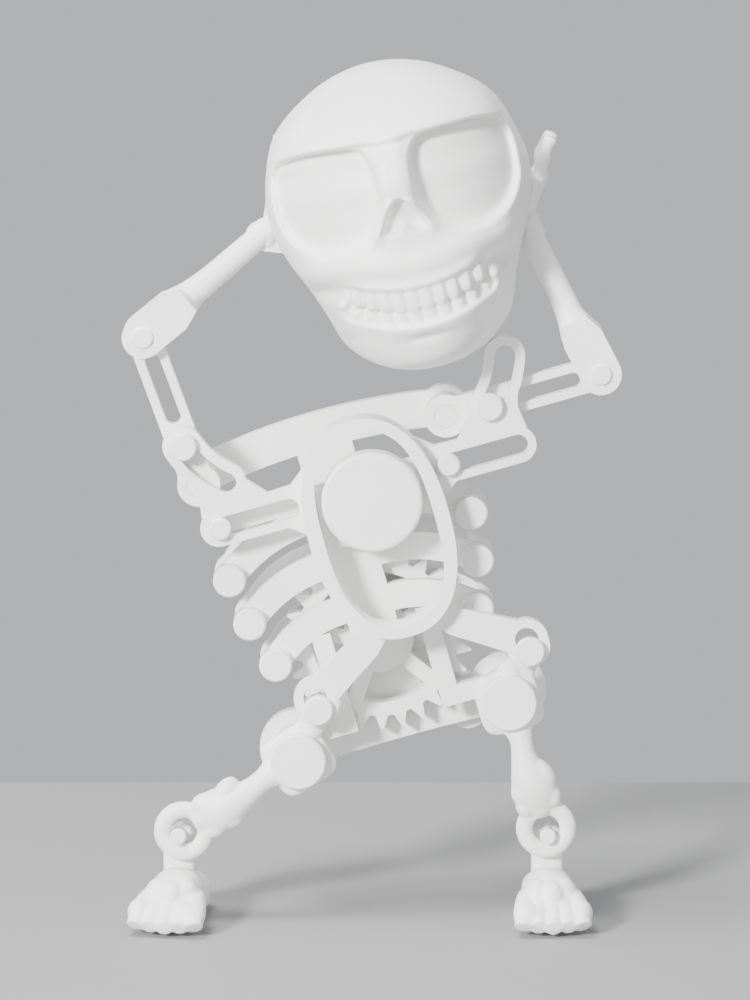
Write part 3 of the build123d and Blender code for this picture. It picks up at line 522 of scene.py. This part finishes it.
@dataclass
class Skull:
    """The head: a domed skull with wide flat-floored sockets, a broad grin and a flat back."""

    heights: tuple[float, ...] = (-29.8, -28.6, -26, -22, -16, -10.5, -5, 0, 4, 10, 19, 26, 28.6, 29.6)
    widths: tuple[float, ...] = (0, 8.6, 13.4, 16.9, 19.0, 21.2, 23.8, 25.4, 25.9, 25.2, 21.8, 13.2, 7.0, 0)
    depths: tuple[float, ...] = (0, 17, 22.5, 25.2, 26.0, 26.0, 26.0, 26.2, 26.4, 26.2, 21.6, 12.8, 7.0, 0)
    rows: int = 300
    columns: int = 380
    socket_at: tuple[float, float] = (13.5, 6.4)
    socket_half: float = 10.2
    socket_up: float = 10.2
    socket_down: float = 9.9
    socket_deep: float = 3.8
    brow: float = 17.2
    nose_top: float = 5.6
    gum: float = -11.6
    bite: float = -14.6
    lip: float = -19.0
    teeth: int = 10
    over_pins: float = 2.2
    aside: float = 1.5
    voxel: float = 0.34
    spot: Spot = field(init=False)

    def __post_init__(self) -> None:
        """Find the head's frame from its two pivots."""
        left, right = centre_of("head_pin_left"), centre_of("head_pin_right")
        turn = angle_between(left, right)
        middle = (left + right) / 2
        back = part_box("skull")[1].y
        rise, aside = self.over_pins * MM, self.aside * MM
        self.spot = Spot(middle[0] + aside * math.cos(turn) - rise * math.sin(turn), back,
                         middle[2] + aside * math.sin(turn) + rise * math.cos(turn), turn)

    def profile(self, z: Array, sizes: tuple[float, ...]) -> Array:
        """Half width or depth at a height: the root of a smooth curve through the squared sizes."""
        knots = np.array([self.heights, np.array(sizes) ** 2]).T
        line = curve_through(knots, PROFILE_STEPS)
        return np.sqrt(np.clip(np.interp(z, line[:, 0], line[:, 1]), 0, None))

    def shell_depth(self, x: Array, z: Array) -> Array:
        """Plain shell's depth towards the viewer at x and z, before any feature."""
        share = np.clip(np.abs(x) / np.maximum(self.profile(z, self.widths), 1e-6), 0, 1)
        return self.profile(z, self.depths) * (1 - share ** 2.3) ** 0.5

    def socket(self, x: Array, z: Array) -> Array:
        """Rounded, flat-topped socket shape: 1 at its rim, less inside."""
        p = (np.abs(x) - self.socket_at[0]) / self.socket_half
        q = z - self.socket_at[1]
        inner = p < 0
        up = np.abs(p) ** np.where(inner, 4.5, 2.6) + (np.clip(q, 0, None) / self.socket_up) ** 4.0
        down = np.abs(p) ** 2.2 + (np.clip(-q, 0, None) / self.socket_down) ** 2.1
        return np.where(q > 0, up, down)

    def jaw_row(self, x: Array, level: float) -> Array:
        """Height of the mouth's curve at x: the level in the middle, rising to the sides by x squared."""
        return level + 0.0148 * x ** 2

    def relief(self, x: Array, z: Array) -> Array:
        """Height of the face's features over the plain shell, in millimetres towards the viewer."""
        side = np.abs(x)
        brow_line = self.brow - 0.0075 * np.clip(side - 9, 0, None) ** 2 - 0.35 * step_mask(side, 2.0, 5.0)
        over = z - brow_line
        brow = np.where(over > 0, np.exp(-(over / 4.2) ** 2), step_mask(-over, 0.1, 1.1))
        out = 1.3 * brow * step_mask(side, 21.0, 25.5)
        bridge = np.exp(-(side / 3.1) ** 4) * step_mask(z, 14, 19) * step_mask(-z, -5.0, 0.5)
        out += 1.5 * bridge
        shape = self.socket(x, z)
        floor = step_mask(shape, 0.70, 1.12)
        out -= self.socket_deep * floor
        out -= 0.9 * floor * step_mask(-over, 1.0, 4.0)
        out += 1.2 * mound(side, z, (13.0, -6.2), (8.0, 2.6))
        out += 1.6 * mound(side, z, (20.0, -6.6), (3.4, 3.2))
        out -= 3.0 * mound(side, z, (17.4, -10.9), (3.4, 1.8))
        down = self.nose_top - z
        hole_half = 4.6 * np.clip(down / 6.6, 0, 1) ** 0.62
        floor_line = 6.9 - 1.7 * np.exp(-(side / 1.3) ** 2)
        nose = step_mask(side / np.maximum(hole_half, 1e-3), 0.72, 1.12) * step_mask(-down, -0.9, 0.2) \
            * step_mask(down - floor_line, -0.9, 0.3)
        out -= 2.2 * nose
        out += 0.8 * np.exp(-((side - hole_half - 0.9) / 1.0) ** 2) * step_mask(-down, -1.5, 0.5) \
            * step_mask(down, 6.0, 8.5)
        out += 0.9 * mound(x, z, (0, -8.0), (12.5, 3.0))
        gum = z - self.jaw_row(x, self.gum)
        out += 0.9 * np.exp(-(gum / 1.2) ** 2) * step_mask(side, 10.5, 14.0)
        row = z - self.jaw_row(x, self.bite)
        out -= 1.5 * step_mask(side, 12.4, 15.2) * step_mask(np.abs(row + 0.9), 2.7, 3.9)
        lip = z - self.jaw_row(x, self.lip)
        out += 1.5 * np.where(lip > 0, np.exp(-(lip / 0.8) ** 2), np.exp(-(lip / 2.6) ** 2)) \
            * step_mask(side, 14, 17.5)
        out -= 1.0 * mound(x, z, (-0.5, self.lip - 2.6), (4.0, 0.9))
        out += 1.0 * mound(x, z, (0, -27.0), (8.5, 2.4))
        ramus = np.exp(-((side - 15.6) / 1.7) ** 2) * step_mask(np.abs(z + 16.0), 2.5, 4.5)
        out += 1.7 * ramus
        out += 1.9 * mound(side, z, (15.2, -12.6), (1.6, 1.5))
        out += 1.2 * mound(x, z, (-13.4, -11.6), (1.1, 1.0))
        return out

    def shell(self) -> Patch:
        """The skull's skin.

        Formula: at height z and angle a from one side through the front, x = W(z) cos a and depth =
        D(z) (1 - |x/W| to the 2.3) to the 0.5, plus the relief faded out at the silhouette; the flat back
        joins the two edges.
        """
        t = np.linspace(0, 1, self.rows)
        low, high = self.heights[0], self.heights[-1]
        z = (low + (high - low) * (1 - np.cos(np.pi * t)) / 2)[:, None]
        a = np.linspace(0, np.pi, self.columns)[None, :]
        half = self.profile(z, self.widths)
        x = half * np.cos(a)
        z = np.broadcast_to(z, x.shape)
        share = np.clip(np.abs(np.cos(a)), 0, 1)
        depth = self.profile(z, self.depths) * (1 - share ** 2.3) ** 0.5
        fade = step_mask(share, 0.93, 1.0) * np.clip(depth / 6.0, 0, 1)
        front = np.stack([x, -np.clip(depth + self.relief(x, z) * fade, 0, None), z], axis=-1)
        across = np.linspace(-1, 1, 14)[1:-1][None, :]
        back = np.stack([half * across, np.zeros_like(half * across), z[:, :1] + 0 * across], axis=-1)
        points = np.concatenate([front, back], axis=1)
        return Patch(points.reshape(-1, 3), grid_faces(self.rows, points.shape[1], True))

    def tooth_row(self, level: float, tall: float, out: float, reach: float) -> list[Patch]:
        """A row of teeth along the jaw's curve.

        Args:
            level: Height of the row's middle at the centre.
            tall: Half height of a tooth.
            out: How far the teeth stand over the plain shell.
            reach: Half width of the row.

        Returns:
            One rounded block for each tooth, its middle on the shell's curve.
        """
        x = np.linspace(-reach, reach, self.teeth)
        z = self.jaw_row(x, level)
        depth = self.shell_depth(x, z)
        wide = reach / (self.teeth - 1) * 0.97
        return [blob((px, -(py + out - 1.6), pz), (wide, 1.9, tall * (1 - 0.025 * abs(px))),
                     0.0, 0.6, 15, 20)
                for px, py, pz in zip(x, depth, z)]

    def build(self) -> bpy.types.Object:
        """Fuse the shell and the teeth into one printed head."""
        patches = [self.shell()]
        patches += self.tooth_row(self.bite + 0.6, 2.7, 0.3, 11.6)
        patches += self.tooth_row(self.bite - 2.8, 1.6, -0.3, 12.2)
        head = fused("head_bone", [patch.placed(self.spot) for patch in patches], self.voxel, 3)
        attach(head, "head")
        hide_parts("skull")
        return head


# ------------------------------------------------------------------ limbs
@dataclass
class Forearm:
    """Bone sleeve of one forearm, and the bony hand on its end."""

    side: Side
    bend: float = 12.6
    length: float = 30.7
    hand_bend: float = 47.0
    wrist: float = 2.2
    voxel: float = 0.3

    def spot(self) -> Spot:
        """Frame at the elbow, u along the forearm."""
        elbow = centre_of(f"elbow_pin_{self.side.word}")
        pivot = centre_of(f"head_pin_{self.side.word}")
        turn = angle_between(elbow, pivot) - self.side.value * math.radians(self.bend)
        low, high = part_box(f"upper_arm_{self.side.word}")
        return Spot(elbow[0], (low.y + high.y) / 2, elbow[2], turn)

    def bone(self) -> bpy.types.Object:
        """Flared at the elbow, slim along the shaft, swelling again at the wrist; it slopes backwards."""
        back = 7.6
        sleeve = limb([(6.4, 0.1, 0, 4.0, 0.95), (8.6, 0.6, 0.1, 3.9, 0.95), (12.0, 1.6, 0.2, 2.9, 0.95),
                       (16, 3.0, 0.3, 2.3, 1.0), (22, 5.0, 0.2, 2.1, 1.0), (27.5, 6.9, 0, 2.35, 1.0),
                       (31, back, -0.2, 2.9, 0.9), (33, back, 0.2, 2.3, 0.9)])
        knob = blob((30.0, back - 0.2, -1.5 * -self.side.value), (2.0, 2.2, 1.9))
        patches = [sleeve.placed(self.spot()), knob.placed(self.spot())]
        return fused(f"forearm_bone_{self.side.word}", patches, self.voxel, 5)

    def hand(self) -> bpy.types.Object:
        """Wrist, palm and four jointed fingers held edge-on, with a thumb."""
        elbow = self.spot()
        inward = -self.side.value
        low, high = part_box(f"hand_{self.side.word}")
        start = elbow.world(np.array([[self.length + self.wrist, 0, inward * 0.9]]))[0]
        turn = elbow.angle + inward * math.radians(self.hand_bend)
        spot = Spot(start[0], (low.y + high.y) / 2, start[2], turn)
        out = -inward
        palm = limb([(-2.2, -1.6, 0.2 * out, 2.2, 1.2), (0.6, -0.8, 1.0 * out, 2.7, 1.5),
                     (3.4, 0, 0.7 * out, 2.2, 1.9), (6.6, 0, 0.2 * out, 1.9, 2.2),
                     (9.4, 0, 0.2 * out, 1.9, 2.1)])
        patches = [palm, blob((0.9, -1.5, 2.4 * out), (2.2, 2.2, 1.6)),
                   blob((4.2, -2.6, 1.6 * out), (1.8, 1.8, 1.4))]
        for number, across in enumerate((-3.5, -1.2, 1.2, 3.5)):
            tip = 17.2 - 0.8 * abs(number - 1.2)
            patches.append(limb([(7.0, across * 0.9, 0.2 * out, 1.5, 0.9),
                                 (9.6, across, 0.4 * out, 1.25, 0.9),
                                 (11.8, across, 0.9 * out, 1.55, 0.85),
                                 (14.0, across, 0.9 * out, 1.25, 0.9),
                                 (tip, across * 0.95, 0.6 * out, 1.6, 0.85)], 40, 16))
        patches.append(limb([(2.0, -3.0, 1.0 * out, 1.6, 1.0), (5.0, -4.2, 0.8 * out, 1.3, 1.0),
                             (8.2, -4.6, 0.2 * out, 1.4, 1.0)], 30, 16))
        placed = [patch.placed(spot) for patch in patches]
        return fused(f"hand_bone_{self.side.word}", placed, self.voxel, 3)

    def build(self) -> list[bpy.types.Object]:
        """Make both pieces and let them ride on the forearm."""
        bone, hand = self.bone(), self.hand()
        body = f"forearm_{self.side.word}"
        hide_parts(f"hand_{self.side.word}")
        for piece in (bone, hand):
            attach(piece, body)
        return [bone, hand]


@dataclass
class Leg:
    """Bell crank leg: pin boss and lever, hip disc, thigh, knee lumps, shin and ankle eyelet."""

    side: Side
    voxel: float = 0.32
    eyelet: float = 6.0
    hole: float = 2.6
    hole_shift: float = 1.3

    def build(self) -> bpy.types.Object:
        """Fuse the leg's lumps; the frame has its u axis from the hip to the ankle."""
        word = self.side.word
        hip, ankle, pin = (centre_of(f"{name}_{word}") for name in ("hip_pin", "ankle_pin", "leg_pin"))
        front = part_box(f"leg_{word}")[0].y
        spot = Spot(hip[0], front + LINK_HALF * MM + BONE_PROUD * MM, hip[2], angle_between(hip, ankle))
        length = math.hypot(ankle[0] - hip[0], ankle[2] - hip[2]) / MM
        pin_u, pin_v = spot.local(pin)
        inner = math.copysign(1.0, pin_v)
        ring_u = length - self.hole_shift
        middle = (self.eyelet + self.hole) / 2
        patches = [
            blob((0, 0, 0), (6.3, 1.35, 6.3), 0, 0.45, 21, 40),
            limb([(0, 0, 0, 3.2, 0.42), (pin_u * 0.5, 0, pin_v * 0.5, 2.9, 0.46),
                  (pin_u, 0, pin_v, 3.0, 0.43), (pin_u * 1.1, 0, pin_v * 1.1, 2.7, 0.45)], 40, 24),
            ring_patch((ring_u, 0, 0), middle, (self.eyelet - self.hole) / 2, 1.35),
            limb([(1.5, 0, 0.0, 5.0, 0.3), (4.8, -0.3, 0.3 * inner, 3.4, 0.5),
                  (8.4, -0.8, 0.2 * inner, 2.3, 0.9), (12, -1.0, -0.2 * inner, 2.7, 0.95),
                  (16.0, -1.0, -0.2 * inner, 3.9, 0.85),
                  (19.0, -0.9, 0, 4.4, 0.72), (21.4, -0.6, 0, 4.0, 0.6), (23.2, -0.2, 0, 3.0, 0.5),
                  (24.6, 0, 0, 2.4, 0.5)], 60, 28),
            blob((15.6, -1.4, 2.3 * inner), (3.6, 2.2, 2.2), 24),
            blob((17.8, -1.3, -2.5 * inner), (3.1, 2.1, 2.1), -20),
            blob((20.6, -1.0, 2.9 * inner), (2.4, 1.9, 1.9)),
            blob((21.2, -1.0, -2.7 * inner), (2.3, 1.8, 1.9)),
            blob((22.0, -0.9, 0.2 * inner), (2.2, 1.7, 2.2)),
            blob((pin_u * 0.40 - 2.0, -0.4, pin_v * 0.40 - 1.0), (2.6, 1.8, 2.4)),
        ]
        leg = fused(f"leg_bone_{word}", [patch.placed(spot) for patch in patches], self.voxel, 3)
        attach(leg, f"leg_{word}")
        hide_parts(f"leg_{word}")
        return leg


@dataclass
class Foot:
    """Bony foot: heel, high instep, five metatarsals with jointed toes, and the upright behind the ankle."""

    side: Side
    toes: int = 5
    toes_wide: float = 14.6
    voxel: float = 0.34
    toes_out: dict[str, float] = field(default_factory=lambda: {"left": 10.0, "right": 3.0})

    def turned(self, patch: Patch) -> Patch:
        """The patch turned about the upright line through the ankle, the toes outwards."""
        angle = math.radians(self.side.value * self.toes_out[self.side.word])
        u, d, v = patch.points.T
        c, s = math.cos(angle), math.sin(angle)
        return Patch(np.stack([u * c - d * s, u * s + d * c, v], axis=1), patch.faces)

    def build(self) -> bpy.types.Object:
        """Fuse the foot's lumps and cut them off flat at the sole."""
        word = self.side.word
        ankle = centre_of(f"ankle_pin_{word}")
        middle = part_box(f"upper_arm_{word}")[0].y + LINK_HALF * MM
        spot = Spot(ankle[0], middle, 0.0)
        post = (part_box(f"ankle_pin_{word}")[1].y - middle) / MM - BONE_PROUD
        top = ankle[2] / MM
        patches = [
            blob((0, 7.6, 3.8), (4.6, 5.0, 4.4), 0, 0.8),
            blob((0, -2.2, 5.4), (5.2, 6.6, 5.4), 0, 0.75),
            blob((-2.6, -6.4, 6.6), (2.9, 3.6, 3.6)), blob((2.4, -6.0, 6.8), (3.0, 3.4, 3.6)),
            blob((0.2, -7.8, 6.9), (2.6, 3.2, 3.2)), blob((-0.2, -2.4, 8.6), (3.6, 3.0, 2.4)),
            blob((5.6 * self.side.value, -10.6, 4.2), (2.4, 2.8, 2.8)),
            blob((-4.8 * self.side.value, -11.0, 3.8), (2.6, 3.0, 2.8)),
        ]
        toe_wide = self.toes_wide / self.toes
        for number in range(self.toes):
            u = (number - (self.toes - 1) / 2) * toe_wide
            big = 1.15 if number in (0, self.toes - 1) else 1.05
            tip = -14.6 + 0.45 * abs(number - 2)
            patches.append(limb([(u * 0.7, -4.0, 6.2, 2.2, 1.0), (u * 0.85, -8.0, 5.4, 1.9 * big, 1.0),
                                 (u * 0.93, -11.0, 4.2, 1.95 * big, 1.0),
                                 (u * 0.97, -13.0, 2.9, 1.6 * big, 1.0),
                                 (u, tip, 2.2, 1.85 * big, 1.0)], 44, 18))
        patches = [self.turned(patch) for patch in patches]
        patches.append(blob((0, post, top * 0.5 + 0.4), (3.2, 2.2, top * 0.5 + 0.4), 0, 0.4))
        patches = [patch.placed(spot) for patch in patches]
        foot = fused(f"foot_bone_{word}", patches, self.voxel, 3, 0.0)
        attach(foot, f"foot_{word}")
        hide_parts(f"foot_{word}")
        return foot


def dress(pieces: list[bpy.types.Object]) -> None:
    """Give every CAD node and every new piece the finish of its slot."""
    made = {slot.value: finish.build() for slot, finish in FINISHES.items()}
    slots = {part["node"]: part["material_slot"] for part in frame["record"]["subparts"]}
    for name, node in frame["nodes"].items():
        node.data.materials.clear()
        node.data.materials.append(made[slots[name]])
    for piece in pieces:
        piece.data.materials.clear()
        piece.data.materials.append(made[Slot.BONE.value])


def main() -> None:
    """Build the figure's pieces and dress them."""
    logging.basicConfig(level=logging.INFO, format="%(message)s")
    Studio().build()
    pieces = [Skull().build()]
    for side in Side:
        pieces += Forearm(side).build()
        pieces.append(Leg(side).build())
        pieces.append(Foot(side).build())
    dress(pieces)
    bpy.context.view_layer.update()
    for piece in pieces:
        LOG.info("made %s", piece.name)


if __name__ == "__main__":
    main()
